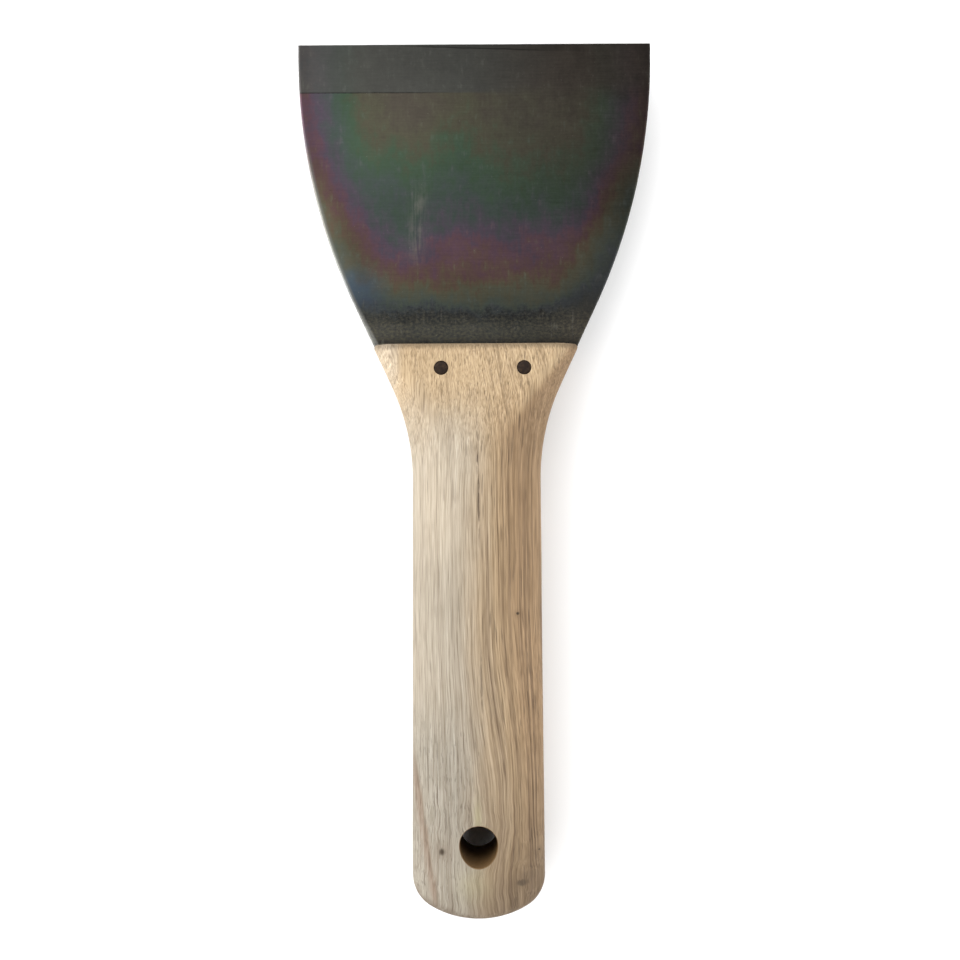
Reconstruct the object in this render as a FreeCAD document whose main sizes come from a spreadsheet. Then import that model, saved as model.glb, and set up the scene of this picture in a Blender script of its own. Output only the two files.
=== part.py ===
import FreeCAD, Part
import math
import operator
import os

import Sketcher

# Wide-bladed taping knife with a one-piece wooden handle, lying on its back.
# X runs across the blade, +Y runs along the knife towards the working edge, and +Z points up,
# out of the front of the handle. The origin is the middle of the knife's footprint, on the flat
# strip along the handle's back. Lengths are in millimetres and angles in degrees.

DIMENSIONS = (
    ("overall_length", 245.7, "working edge to butt"),
    ("blade_width", 100.0, "length of the working edge"),
    ("blade_exposed", 85.5, "working edge to the head of the handle"),
    ("blade_thickness", 0.7, "spring steel sheet"),
    ("blade_land", 4.0, "straight side next to the working edge"),
    ("blade_side_radius", 165.0, "convex side of the blade"),
    ("blade_curve_end", 74.0, "working edge to where the blade's sides run straight"),
    ("bevel_length", 13.7, "ground band behind the working edge"),
    ("edge_thickness", 0.45, "steel left at the working edge"),
    ("shoulder_half_width", 27.3, "blade, where its sides end beside the handle"),
    ("shoulder_depth", 4.5, "how far the blade's sides follow the head"),
    ("tang_half_width", 19.0, "narrow tang inside the saw kerf"),
    ("tang_depth", 22.0, "end of the tang, from the head of the handle"),
    ("tang_corner", 3.0, "rounded corner of the tang"),
    ("kerf_depth", 23.0, "saw kerf, from the head of the handle"),
    ("kerf_width", 0.8, "blade thickness and a little room"),
    ("grip_half_width", 18.2, "handle at its narrowest"),
    ("butt_half_width", 18.85, "handle where the butt's corners begin"),
    ("neck_length", 38.0, "head of the handle to its narrowest place"),
    ("neck_radius", 62.0, "concave side between flare and grip"),
    ("flare_angle", 24.3, "straight flare of the head, from the long axis"),
    ("head_corner", 1.5, "rounded corner of the head"),
    ("butt_corner", 8.5, "rounded corner of the butt"),
    ("butt_radius", 34.0, "curve of the butt end"),
    ("rim_radius", 1.5, "rounding round the front and back of the handle"),
    ("crest_height", 11.5, "centre plane to the crest of the oval grip"),
    ("crest_rise", 2.3, "how much higher the oval would be at the head"),
    ("oval_margin", 0.7, "oval beyond the plan outline, which leaves an upright side"),
    ("back_height", 11.3, "centre plane to the flat strip along the back"),
    ("head_half_thickness", 7.0, "centre plane to the sloping face, at the head"),
    ("slope_length", 32.0, "sloping face, from the head to the crest"),
    ("facet_start", 24.7, "centre line to the shoulder facet, at the head"),
    ("facet_turn", 17.0, "shoulder facet, turned towards the butt"),
    ("facet_tilt", 47.0, "shoulder facet, tilted down from the front"),
    ("rivet_radius", 2.0, "plain steel pin"),
    ("rivet_room", 0.1, "radial room in the blade's holes"),
    ("rivet_left", -9.75, "left pin, from the centre line"),
    ("rivet_right", 13.45, "right pin, from the centre line"),
    ("rivet_inset", 6.9, "pins, from the head of the handle"),
    ("rivet_recess", 0.15, "ends of the pins, below the sloping faces"),
    ("hang_radius", 5.3, "hanging hole"),
    ("hang_inset", 20.65, "hanging hole, from the butt"),
)

# Distances from the head at which the handle's oval section is drawn: closely spaced along the
# curved flare, and only at the two ends of the straight grip.
FLARE_STATIONS = (-4, 2, 8, 14, 20, 26, 32, 38)
GRIP_STATIONS = (38, 170)
OVERSIZE = 5
CUT_HEIGHT = 60
SMALLEST_CUT = 1.0

ORIGIN = (-1, 1)
V_AXIS = -2
START = 1
END = 2
CENTRE = 3
PARTS_FOLDER = "parts"


class Rule:
    """A size worked out from the sheet: its value now, and the expression that binds it."""

    def __init__(self, value, text):
        self.value = value
        self.text = text

    def joined(self, work, symbol, other):
        other = other if isinstance(other, Rule) else number(other)
        value = work(self.value, other.value)
        return Rule(value, f"({self.text} {symbol} {other.text})")

    def __add__(self, other):
        return self.joined(operator.add, "+", other)

    def __sub__(self, other):
        return self.joined(operator.sub, "-", other)

    def __mul__(self, other):
        return self.joined(operator.mul, "*", other)

    def __truediv__(self, other):
        return self.joined(operator.truediv, "/", other)

    def __neg__(self):
        return number(0) - self

    def root(self):
        return Rule(math.sqrt(self.value), f"sqrt({self.text})")

    def sine(self):
        return Rule(math.sin(math.radians(self.value)), f"sin({self.text} * 1 deg)")

    def cosine(self):
        return Rule(math.cos(math.radians(self.value)), f"cos({self.text} * 1 deg)")


def number(value):
    """A plain number as a Rule."""
    return Rule(value, f"({value})")


class Dimensions:
    """The driving dimensions by name, each as a Rule bound to its cell of the sheet."""

    def __init__(self, document):
        self.sheet = document.addObject("Spreadsheet::Sheet", "dims")
        for row, (alias, value, meaning) in enumerate(DIMENSIONS, start=1):
            self.sheet.set(f"A{row}", alias)
            self.sheet.set(f"B{row}", str(value))
            self.sheet.set(f"C{row}", meaning)
            self.sheet.setAlias(f"B{row}", alias)
        document.recompute()

    def __getattr__(self, alias):
        return Rule(float(self.sheet.get(alias)), f"dims.{alias}")


def flat(x, y):
    return FreeCAD.Vector(x, y, 0)


def sketch_on(body, name, role="XY_Plane"):
    """An empty sketch on one of the body's own base planes."""
    sketch = body.newObject("Sketcher::SketchObject", name)
    plane = next(item for item in body.Origin.OriginFeatures if item.Role == role)
    sketch.AttachmentSupport = [(plane, "")]
    sketch.MapMode = "FlatFace"
    return sketch


def measure(sketch, kind, where, rule, scale=1):
    """Add one dimension to a sketch and bind it to the sheet."""
    index = sketch.addConstraint(Sketcher.Constraint(kind, *where, rule.value * scale))
    sketch.setExpression(f"Constraints[{index}]", rule.text)


def fix_point(sketch, edge, end, x=None, y=None):
    """Place a point of an edge by its distances from the sketch's origin."""
    for kind, rule in (("DistanceX", x), ("DistanceY", y)):
        if rule is not None:
            measure(sketch, kind, (*ORIGIN, edge, end), rule)


def fix_angle(sketch, edge, rule):
    """Give a straight edge its direction, in degrees from the sketch's X axis."""
    measure(sketch, "Angle", (edge,), rule, scale=math.pi / 180)


def line(start, end):
    """A straight edge of an outline, and which of its ends comes first and last."""
    return Part.LineSegment(flat(*start), flat(*end)), START, END


def arc(centre, radius, first, last):
    """An arc of an outline between two angles; it is followed clockwise where the angle falls."""
    whole = Part.Circle(flat(*centre), FreeCAD.Vector(0, 0, 1), radius)
    low, high = sorted((math.radians(first), math.radians(last)))
    head, tail = (START, END) if first < last else (END, START)
    return Part.ArcOfCircle(whole, low, high), head, tail


def closed_outline(sketch, edges, smooth):
    """Join edges into a closed outline; smooth names the joins that are tangent."""
    for geometry, _, _ in edges:
        sketch.addGeometry(geometry)
    for index, (_, _, tail) in enumerate(edges):
        after = (index + 1) % len(edges)
        kind = "Tangent" if index in smooth else "Coincident"
        sketch.addConstraint(Sketcher.Constraint(kind, index, tail, after, edges[after][1]))


def polygon(sketch, corners):
    """A closed polygon whose corners are all bound to the sheet."""
    first = sketch.GeometryCount
    places = [(x.value, y.value) for x, y in corners]
    for start, end in zip(places, places[1:] + places[:1]):
        sketch.addGeometry(line(start, end)[0])
    for step, (x, y) in enumerate(corners):
        before = first + (step - 1) % len(corners)
        sketch.addConstraint(Sketcher.Constraint("Coincident", before, END, first + step, START))
        fix_point(sketch, first + step, START, x, y)


def circle(sketch, x, y, radius):
    """A circle bound to the sheet."""
    place = flat(x.value, y.value)
    index = sketch.addGeometry(Part.Circle(place, FreeCAD.Vector(0, 0, 1), radius.value))
    fix_point(sketch, index, CENTRE, x, y)
    measure(sketch, "Radius", (index,), radius)


def pad(body, sketch, name, thickness):
    """Thicken a sketch evenly to both sides."""
    feature = body.newObject("PartDesign::Pad", name)
    feature.Profile = sketch
    feature.Midplane = True
    feature.setExpression("Length", thickness.text)
    return feature


def pocket(body, sketch, name):
    """Cut a sketch's shape right through the body, to both sides."""
    document = body.Document
    document.recompute()
    before = body.Shape.Volume
    feature = body.newObject("PartDesign::Pocket", name)
    feature.Profile = sketch
    feature.Midplane = True
    feature.Length = 2 * CUT_HEIGHT
    document.recompute()
    if before - feature.Shape.Volume < SMALLEST_CUT:
        raise RuntimeError(f"{name} cuts nothing")
    return feature


def mirror_across(body, feature, name):
    """Repeat the half that was drawn on the other side of the long axis."""
    mirrored = body.newObject("PartDesign::Mirrored", name)
    mirrored.Originals = [feature]
    plane = next(item for item in body.Origin.OriginFeatures if item.Role == "YZ_Plane")
    mirrored.MirrorPlane = (plane, [""])
    body.Tip = mirrored
    return mirrored


def place(target, x=None, y=None, z=None):
    """Bind where a sub-part stands in the knife's frame."""
    for axis, rule in (("x", x), ("y", y), ("z", z)):
        if rule is not None:
            target.setExpression(f".Placement.Base.{axis}", rule.text)


def new_body(document, label):
    body = document.addObject("PartDesign::Body", label)
    body.Label = label
    return body


def draw_blade_half(sketch, dims):
    """Right half of the blade and its tang, from the middle of the working edge."""
    half_width = dims.blade_width / 2
    tang_end = dims.blade_exposed + dims.tang_depth
    shoulder = dims.blade_exposed + dims.shoulder_depth
    radius = dims.blade_side_radius.value
    side_centre = (half_width.value - radius, -dims.blade_land.value)
    drop = dims.blade_curve_end.value - dims.blade_land.value
    sweep = math.asin(drop / radius)
    curve_end = (side_centre[0] + radius * math.cos(sweep), -dims.blade_curve_end.value)
    straight = dims.blade_exposed.value - dims.blade_curve_end.value
    side_end = (curve_end[0] - straight * math.tan(sweep), -dims.blade_exposed.value)
    shoulder_end = (dims.shoulder_half_width.value, -shoulder.value)
    tang_side = dims.tang_half_width.value
    corner = dims.tang_corner.value
    corner_centre = (tang_side - corner, corner - tang_end.value)
    edges = [
        line((0, 0), (half_width.value, 0)),
        line((half_width.value, 0), (half_width.value, side_centre[1])),
        arc(side_centre, radius, 0, -math.degrees(sweep)),
        line(curve_end, side_end),
        line(side_end, shoulder_end),
        line(shoulder_end, (tang_side, shoulder_end[1])),
        line((tang_side, shoulder_end[1]), (tang_side, corner_centre[1])),
        arc(corner_centre, corner, 0, -90),
        line((corner_centre[0], -tang_end.value), (0, -tang_end.value)),
        line((0, -tang_end.value), (0, 0)),
    ]
    working_edge, land, side, side_run, _, step, tang, tang_round, end, axis = range(len(edges))
    closed_outline(sketch, edges, smooth=(land, side, tang, tang_round))
    for edge in (working_edge, step, end):
        sketch.addConstraint(Sketcher.Constraint("Horizontal", edge))
    for edge in (land, tang, axis):
        sketch.addConstraint(Sketcher.Constraint("Vertical", edge))
    sketch.addConstraint(Sketcher.Constraint("Coincident", working_edge, START, *ORIGIN))
    fix_point(sketch, working_edge, END, x=half_width)
    fix_point(sketch, land, END, y=-dims.blade_land)
    measure(sketch, "Radius", (side,), dims.blade_side_radius)
    fix_point(sketch, side, START, y=-dims.blade_curve_end)
    fix_point(sketch, side_run, END, y=-dims.blade_exposed)
    fix_point(sketch, step, START, x=dims.shoulder_half_width, y=-shoulder)
    fix_point(sketch, tang, START, x=dims.tang_half_width)
    measure(sketch, "Radius", (tang_round,), dims.tang_corner)
    fix_point(sketch, end, END, y=-tang_end)


def build_blade(document, dims):
    """Thin trapezoidal blade: convex sides, a ground working edge and a hidden tang."""
    body = new_body(document, "blade")
    outline = sketch_on(body, "blade_outline")
    draw_blade_half(outline, dims)
    half = pad(body, outline, "blade_half", dims.blade_thickness)
    mirror_across(body, half, "blade_whole")

    grind = sketch_on(body, "blade_grind", "YZ_Plane")
    for side in (1, -1):
        face = dims.blade_thickness / 2 * side
        edge = dims.edge_thickness / 2 * side
        start = -dims.bevel_length
        ahead = number(OVERSIZE)
        corners = ((start, face), (number(0), edge), (ahead, edge), (ahead, face * 2), (start, face * 2))
        polygon(grind, corners)
    pocket(body, grind, "blade_bevels")

    holes = sketch_on(body, "blade_hole_places")
    hole_y = -(dims.blade_exposed + dims.rivet_inset)
    for hole_x in (dims.rivet_left, dims.rivet_right):
        circle(holes, hole_x, hole_y, dims.rivet_radius + dims.rivet_room)
    pocket(body, holes, "blade_holes")
    place(body, y=dims.overall_length / 2, z=dims.back_height)
    return body


def draw_handle_half(sketch, dims):
    """Right half of the handle's plan outline, from the middle of its head."""
    flare = math.radians(dims.flare_angle.value)
    across, along = math.cos(flare), math.sin(flare)
    length = dims.overall_length - dims.blade_exposed
    neck_x = dims.grip_half_width + dims.neck_radius
    neck_radius = dims.neck_radius.value
    neck_centre = (neck_x.value, -dims.neck_length.value)
    flare_end = (neck_centre[0] - neck_radius * across, neck_centre[1] + neck_radius * along)
    corner = dims.head_corner.value
    reach = flare_end[0] * across - flare_end[1] * along - corner
    corner_centre = ((reach - corner * along) / across, -corner)
    flare_start = (corner_centre[0] + corner * across, corner_centre[1] - corner * along)
    narrowest = (dims.grip_half_width.value, neck_centre[1])

    butt_radius = dims.butt_radius.value
    round_radius = dims.butt_corner.value
    butt_centre = (0, butt_radius - length.value)
    round_x = dims.butt_half_width.value - round_radius
    round_drop = math.sqrt((butt_radius - round_radius) ** 2 - round_x**2)
    round_centre = (round_x, butt_centre[1] - round_drop)
    grip_end = (dims.butt_half_width.value, round_centre[1])
    turn = -math.degrees(math.atan2(round_drop, round_x))

    edges = [
        line((0, 0), (corner_centre[0], 0)),
        arc(corner_centre, corner, 90, -dims.flare_angle.value),
        line(flare_start, flare_end),
        arc(neck_centre, neck_radius, 180 - dims.flare_angle.value, 180),
        line(narrowest, grip_end),
        arc(round_centre, round_radius, 0, turn),
        arc(butt_centre, butt_radius, turn, -90),
        line((0, -length.value), (0, 0)),
    ]
    head, corner_round, flare_side, neck, grip, butt_round, butt, axis = range(len(edges))
    closed_outline(sketch, edges, smooth=(head, corner_round, flare_side, neck, grip, butt_round))
    sketch.addConstraint(Sketcher.Constraint("Horizontal", head))
    sketch.addConstraint(Sketcher.Constraint("Vertical", axis))
    sketch.addConstraint(Sketcher.Constraint("Coincident", head, START, *ORIGIN))
    sketch.addConstraint(Sketcher.Constraint("PointOnObject", butt, CENTRE, V_AXIS))
    measure(sketch, "Radius", (corner_round,), dims.head_corner)
    fix_angle(sketch, flare_side, -dims.flare_angle - 90)
    fix_point(sketch, neck, CENTRE, x=neck_x, y=-dims.neck_length)
    measure(sketch, "Radius", (neck,), dims.neck_radius)
    fix_point(sketch, grip, END, x=dims.butt_half_width)
    measure(sketch, "Radius", (butt_round,), dims.butt_corner)
    measure(sketch, "Radius", (butt,), dims.butt_radius)
    fix_point(sketch, axis, START, y=-length)


def side_slope(dims):
    """How much the sloping faces rise for each millimetre from the head."""
    return (dims.crest_height - dims.head_half_thickness) / dims.slope_length


def oval_half_width(dims, station):
    """Half width of the oval section, a little beyond the plan outline, at a distance from the head."""
    flare_length = dims.neck_length - dims.neck_radius * dims.flare_angle.sine()
    if station < flare_length.value:
        lean = dims.flare_angle.sine() / dims.flare_angle.cosine()
        bow = dims.neck_radius - dims.neck_radius * dims.flare_angle.cosine()
        beyond = bow + (flare_length - station) * lean
        return dims.grip_half_width + beyond + dims.oval_margin
    if station < dims.neck_length.value:
        ahead = dims.neck_length - station
        bow = dims.neck_radius - (dims.neck_radius * dims.neck_radius - ahead * ahead).root()
        return dims.grip_half_width + bow + dims.oval_margin
    grip_length = dims.overall_length - dims.blade_exposed - dims.neck_length
    growth = (dims.butt_half_width - dims.grip_half_width) / grip_length
    return dims.grip_half_width + growth * (station - dims.neck_length.value) + dims.oval_margin


def oval_half_height(dims, station):
    """Half height of the oval section: constant along the grip, rising towards the head."""
    if station >= dims.neck_length.value:
        return dims.crest_height
    nearness = (dims.neck_length - station) / dims.neck_length
    return dims.crest_height + dims.crest_rise * nearness * nearness


def build_oval_run(document, dims, name, stations, straight):
    """Oval bar through one ellipse at each station."""
    upright = FreeCAD.Rotation(FreeCAD.Vector(1, 0, 0), 90)
    sections = []
    for station in stations:
        section = document.addObject("Part::Ellipse", f"{name}_section")
        section.setExpression("MajorRadius", oval_half_width(dims, station).text)
        section.setExpression("MinorRadius", oval_half_height(dims, station).text)
        section.Placement = FreeCAD.Placement(flat(0, -station), upright)
        sections.append(section)
    run = document.addObject("Part::Loft", name)
    run.Sections = sections
    run.Solid = True
    run.Ruled = straight
    return run


def build_oval(document, dims):
    """Smooth oval bar that swells towards the head."""
    oval = document.addObject("Part::MultiFuse", "handle_oval")
    oval.Shapes = [
        build_oval_run(document, dims, "flare_oval", FLARE_STATIONS, straight=False),
        build_oval_run(document, dims, "grip_oval", GRIP_STATIONS, straight=True),
    ]
    return oval


def build_plan(document, dims):
    """Upright block with the handle's plan outline."""
    body = new_body(document, "handle_plan")
    outline = sketch_on(body, "handle_outline")
    draw_handle_half(outline, dims)
    half = pad(body, outline, "handle_plan_half", number(CUT_HEIGHT))
    mirror_across(body, half, "handle_plan_whole")
    return body


def build_profile(document, dims):
    """Wide block with the handle's side view: sloping faces at the head, flat along the back."""
    body = new_body(document, "handle_profile")
    sketch = sketch_on(body, "handle_side_view", "YZ_Plane")
    slope = side_slope(dims)
    before = number(OVERSIZE)
    nose = dims.head_half_thickness - slope * OVERSIZE
    beyond = dims.blade_exposed - dims.overall_length - OVERSIZE
    top = dims.crest_height * 2 - dims.head_half_thickness
    back_start = (dims.back_height - dims.head_half_thickness) / slope
    corners = (
        (before, nose),
        (before, -nose),
        (-back_start, -dims.back_height),
        (beyond, -dims.back_height),
        (beyond, top),
        (dims.slope_length * -2, top),
    )
    polygon(sketch, corners)
    pad(body, sketch, "handle_profile_block", number(CUT_HEIGHT * 2))
    return body


def build_facet_cutters(document, dims):
    """Blocks whose undersides are the planar facets on the four shoulders of the head."""
    cutters = []
    turn = dims.facet_turn.value
    tilt = dims.facet_tilt.value
    for side, yaw in ((1, -turn), (-1, 180 + turn)):
        for face, pitch in ((1, tilt), (-1, 180 - tilt)):
            block = document.addObject("Part::Box", f"facet_cutter_{len(cutters) + 1}")
            block.Length = block.Width = block.Height = CUT_HEIGHT
            rotation = FreeCAD.Rotation(yaw, pitch, 0)
            corner = FreeCAD.Vector(
                dims.facet_start.value * side, 0, dims.head_half_thickness.value * face
            )
            back_off = rotation.multVec(flat(-CUT_HEIGHT / 2, -CUT_HEIGHT / 2))
            block.Placement = FreeCAD.Placement(corner + back_off, rotation)
            cutters.append(block)
    return cutters


def bore(document, name, radius, x, y):
    """Upright cutting cylinder through the whole thickness."""
    cylinder = document.addObject("Part::Cylinder", name)
    cylinder.setExpression("Radius", radius.text)
    cylinder.Height = CUT_HEIGHT
    cylinder.Placement.Base.z = -CUT_HEIGHT / 2
    place(cylinder, x=x, y=y)
    return cylinder


def build_kerf(document, dims):
    """Saw kerf that the tang sits in, open to both sides and to the front of the head."""
    kerf = document.addObject("Part::Box", "kerf")
    kerf.Length = CUT_HEIGHT * 2
    kerf.setExpression("Width", (dims.kerf_depth + OVERSIZE).text)
    kerf.setExpression("Height", dims.kerf_width.text)
    kerf.Placement.Base.x = -CUT_HEIGHT
    place(kerf, y=-dims.kerf_depth, z=dims.kerf_width / -2)
    return kerf


def rim_edges(shape, plan):
    """Edges where the upright sides meet the front and back, all round but for the head."""
    found = []
    for index, edge in enumerate(shape.Edges, start=1):
        middle = edge.valueAt((edge.FirstParameter + edge.LastParameter) / 2)
        wall = plan.distToShape(Part.Vertex(middle))[0]
        level = abs(edge.tangentAt(edge.FirstParameter).z) < 0.5
        if wall < 0.01 and abs(middle.z) > 1 and level and middle.y < -0.01:
            found.append(index)
    return found


def build_handle(document, dims):
    """One piece of wood: an oval bar trimmed to its outline and side view, then sawn and drilled."""
    length = dims.overall_length - dims.blade_exposed
    plan = build_plan(document, dims)
    block = document.addObject("Part::MultiCommon", "handle_block")
    block.Shapes = [build_oval(document, dims), plan, build_profile(document, dims)]
    facets = document.addObject("Part::MultiFuse", "facet_cutters")
    facets.Shapes = build_facet_cutters(document, dims)
    blank = document.addObject("Part::Cut", "handle_blank")
    blank.Base = block
    blank.Tool = facets
    blank.Refine = True
    document.recompute()

    rounded = document.addObject("Part::Fillet", "handle_rounded")
    rounded.Base = blank
    radius = dims.rim_radius.value
    rounded.Edges = [(edge, radius, radius) for edge in rim_edges(blank.Shape, plan.Shape.Shells[0])]

    openings = document.addObject("Part::MultiFuse", "handle_openings")
    openings.Shapes = [
        build_kerf(document, dims),
        bore(document, "left_pin_hole", dims.rivet_radius, dims.rivet_left, -dims.rivet_inset),
        bore(document, "right_pin_hole", dims.rivet_radius, dims.rivet_right, -dims.rivet_inset),
        bore(document, "hanging_hole", dims.hang_radius, number(0), dims.hang_inset - length),
    ]
    handle = document.addObject("Part::Cut", "handle")
    handle.Label = "handle"
    handle.Base = rounded
    handle.Tool = openings
    place(handle, y=dims.overall_length / 2 - dims.blade_exposed, z=dims.back_height)
    return handle


def build_rivet(document, dims, label, across):
    """Plain pin through head and tang, ground off parallel to the sloping faces."""
    body = new_body(document, label)
    section = sketch_on(body, f"{label}_section")
    circle(section, number(0), number(0), dims.rivet_radius)
    pad(body, section, f"{label}_pin", number(CUT_HEIGHT))
    ends = sketch_on(body, f"{label}_ends", "YZ_Plane")
    slope = side_slope(dims)
    middle = dims.head_half_thickness + slope * dims.rivet_inset - dims.rivet_recess
    for side in (1, -1):
        corners = (
            (number(OVERSIZE), (middle - slope * OVERSIZE) * side),
            (number(OVERSIZE), number(CUT_HEIGHT * side)),
            (number(-OVERSIZE), number(CUT_HEIGHT * side)),
            (number(-OVERSIZE), (middle + slope * OVERSIZE) * side),
        )
        polygon(ends, corners)
    pocket(body, ends, f"{label}_ground")
    head = dims.overall_length / 2 - dims.blade_exposed
    place(body, x=across, y=head - dims.rivet_inset, z=dims.back_height)
    return body


def stop_on_faults(document, parts):
    """Refuse to write anything if an object failed or a sub-part has no sound shape."""
    for item in document.Objects:
        if "Invalid" in item.State or "Error" in item.State:
            raise RuntimeError(f"{item.Label} did not compute: {item.State}")
    for part in parts:
        shape = part.Shape
        if shape.isNull() or not shape.isValid() or len(shape.Solids) != 1:
            raise RuntimeError(f"{part.Label} is not one valid solid")


doc = FreeCAD.newDocument("taping_knife")
sizes = Dimensions(doc)
sub_parts = [
    build_blade(doc, sizes),
    build_handle(doc, sizes),
    build_rivet(doc, sizes, "rivet_left", sizes.rivet_left),
    build_rivet(doc, sizes, "rivet_right", sizes.rivet_right),
]
doc.recompute()
stop_on_faults(doc, sub_parts)
os.makedirs(PARTS_FOLDER, exist_ok=True)
for part in sub_parts:
    part.Shape.exportStep(f"{PARTS_FOLDER}/{part.Label}.step")
    print(f"{part.Label}: {part.Shape.Volume:.1f} mm3")
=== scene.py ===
import math

import bmesh
import bpy
import numpy as np
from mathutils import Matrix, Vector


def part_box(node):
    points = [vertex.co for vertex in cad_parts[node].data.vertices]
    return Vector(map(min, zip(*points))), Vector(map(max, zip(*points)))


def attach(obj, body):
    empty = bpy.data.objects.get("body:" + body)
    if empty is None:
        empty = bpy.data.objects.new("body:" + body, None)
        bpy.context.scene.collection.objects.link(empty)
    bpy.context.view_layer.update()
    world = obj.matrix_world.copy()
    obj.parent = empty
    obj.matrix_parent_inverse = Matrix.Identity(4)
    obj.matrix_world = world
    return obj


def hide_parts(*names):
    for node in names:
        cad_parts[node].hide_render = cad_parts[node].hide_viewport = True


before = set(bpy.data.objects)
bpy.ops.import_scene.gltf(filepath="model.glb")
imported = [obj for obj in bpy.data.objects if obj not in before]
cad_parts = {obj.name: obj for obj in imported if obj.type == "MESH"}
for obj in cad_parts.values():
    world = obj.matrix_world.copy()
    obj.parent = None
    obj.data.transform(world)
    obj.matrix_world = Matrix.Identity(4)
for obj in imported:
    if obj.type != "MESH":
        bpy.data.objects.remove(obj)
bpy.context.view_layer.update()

# ---- Sizes --------------------------------------------------------------
# All are in millimetres. The handle is worked out from the middle of its head:
# x across, s from the head towards the butt, z from the blade's plane to the front.
# The blade is worked out from the middle of its working edge, with v instead of s.
MM = 0.001
HANDLE_LOW, HANDLE_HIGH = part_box("handle")
BLADE_LOW, BLADE_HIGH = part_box("blade")
HEAD_Y = HANDLE_HIGH.y / MM
EDGE_Y = BLADE_HIGH.y / MM
CENTRE_Z = (BLADE_LOW.z + BLADE_HIGH.z) / 2 / MM
HANDLE_LENGTH = (HANDLE_HIGH.y - HANDLE_LOW.y) / MM
BLADE_LENGTH = (BLADE_HIGH.y - BLADE_LOW.y) / MM
BLADE_EXPOSED = EDGE_Y - HEAD_Y
BLADE_THICKNESS = (BLADE_HIGH.z - BLADE_LOW.z) / MM

GRIP_HALF_WIDTH = 18.2
BUTT_HALF_WIDTH = 18.85
NECK_LENGTH = 38.0
NECK_RADIUS = 62.0
FLARE_ANGLE = math.radians(24.3)
HEAD_CORNER = 1.5
BUTT_CORNER = 8.5
BUTT_RADIUS = 34.0
CREST_HEIGHT = 11.5
CREST_RISE = 2.3
OVAL_MARGIN = 0.7
BACK_HEIGHT = CENTRE_Z
HEAD_HALF_THICKNESS = 7.0
# The head's faces slope up from its end to the crest.
SLOPE_LENGTH = 32.0
SLOPE = (CREST_HEIGHT - HEAD_HALF_THICKNESS) / SLOPE_LENGTH
# A flat facet along each edge of the head's faces, fading out at the neck.
FACET_START = 24.7
FACET_NORMAL = (0.70, 0.214, 0.684)
FACET_STRAIGHT = 20.0
FACET_FADE = 8.0
KERF_DEPTH = 23.0
KERF_WIDTH = 0.8
KERF_REACH = 60.0
HANG_RADIUS = 5.3
HANG_S = HANDLE_LENGTH - 20.65
PIN_RADIUS = 2.0
# Play between a pin and its holes in the wood and in the blade.
WOOD_PLAY = 0.03
BLADE_PLAY = 0.1

# How round the worn edges of the wood are.
HEAD_EDGE = 0.7
SIDE_EDGE = 0.85
BUTT_EDGE = 1.9
BACK_EDGE = 0.3
RIDGE_EDGE = 1.3
FACET_EDGE = 0.8

BLADE_HALF_WIDTH = BLADE_HIGH.x / MM
BLADE_LAND = 4.0
BLADE_SIDE_RADIUS = 165.0
BLADE_CURVE_END = 74.0
BLADE_GROUND = 13.7
BLADE_EDGE_THICKNESS = 0.45
BLADE_EDGE_ROUNDING = 0.16
BLADE_SIDE_ROUNDING = 0.8
SHOULDER_HALF_WIDTH = 27.3
SHOULDER_V = BLADE_EXPOSED + 4.5
TANG_HALF_WIDTH = 19.0
TANG_CORNER = 3.0

# The handle's skin: points round each ring, the gap between rings at the head and butt and
# along the grip, the length of the butt's finer stretch, and the sizes of the rings that
# close the ends, as shares of the last full ring.
ROUND_STEPS = 288
FINE_GAP = 0.38
GRIP_GAP = 0.7
BUTT_ZONE = 22
END_SHARES = (0.12, 0.35, 0.6, 0.82)
# Steps in a search for the surface, each of which halves the stretch where it can be.
HALVINGS = 28

PINS = ("rivet_left", "rivet_right")


# ---- Mesh tools ---------------------------------------------------------
def blend_range(value, low, high):
    """0 below low, 1 above high, and a smooth rise between."""
    step = np.clip((value - low) / (high - low), 0, 1)
    return step * step * (3 - 2 * step)


def smooth_cut(first, second, radius):
    """Distance to the common part of two solids, with a rounded edge between them."""
    inside = np.minimum(-radius, np.maximum(first, second))
    return inside + np.hypot(np.maximum(radius + first, 0), np.maximum(radius + second, 0))


def to_frame(x, s, z, start_y=HEAD_Y):
    """Millimetres along a piece to the knife's frame in metres."""
    x, s, z = np.broadcast_arrays(x, s, z)
    return np.stack([x, start_y - s, CENTRE_Z + z], axis=-1) * MM


def skin_mesh(name, rings):
    """A closed skin over rings of points; the first and last rings shrink to points."""
    count, around = rings.shape[:2]
    index = 1 + np.arange(count * around).reshape(count, around)
    after = np.roll(index, -1, axis=1)
    quads = np.stack([index[:-1], index[1:], after[1:], after[:-1]], axis=-1).reshape(-1, 4)
    end = 1 + count * around
    top = np.stack([np.zeros(around, int), index[0], after[0]], axis=-1)
    bottom = np.stack([np.full(around, end), after[-1], index[-1]], axis=-1)
    points = [rings[0].mean(axis=0), *rings.reshape(-1, 3), rings[-1].mean(axis=0)]
    mesh = bpy.data.meshes.new(name)
    mesh.from_pydata(np.array(points).tolist(), [], quads.tolist() + top.tolist() + bottom.tolist())
    skin = bmesh.new()
    skin.from_mesh(mesh)
    if skin.calc_volume(signed=True) < 0:
        bmesh.ops.reverse_faces(skin, faces=skin.faces)
    skin.to_mesh(mesh)
    skin.free()
    piece = bpy.data.objects.new(name, mesh)
    bpy.context.scene.collection.objects.link(piece)
    return piece


def smooth_shade(piece, degrees):
    piece.data.shade_smooth()
    piece.data.set_sharp_from_angle(angle=math.radians(degrees))


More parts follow.
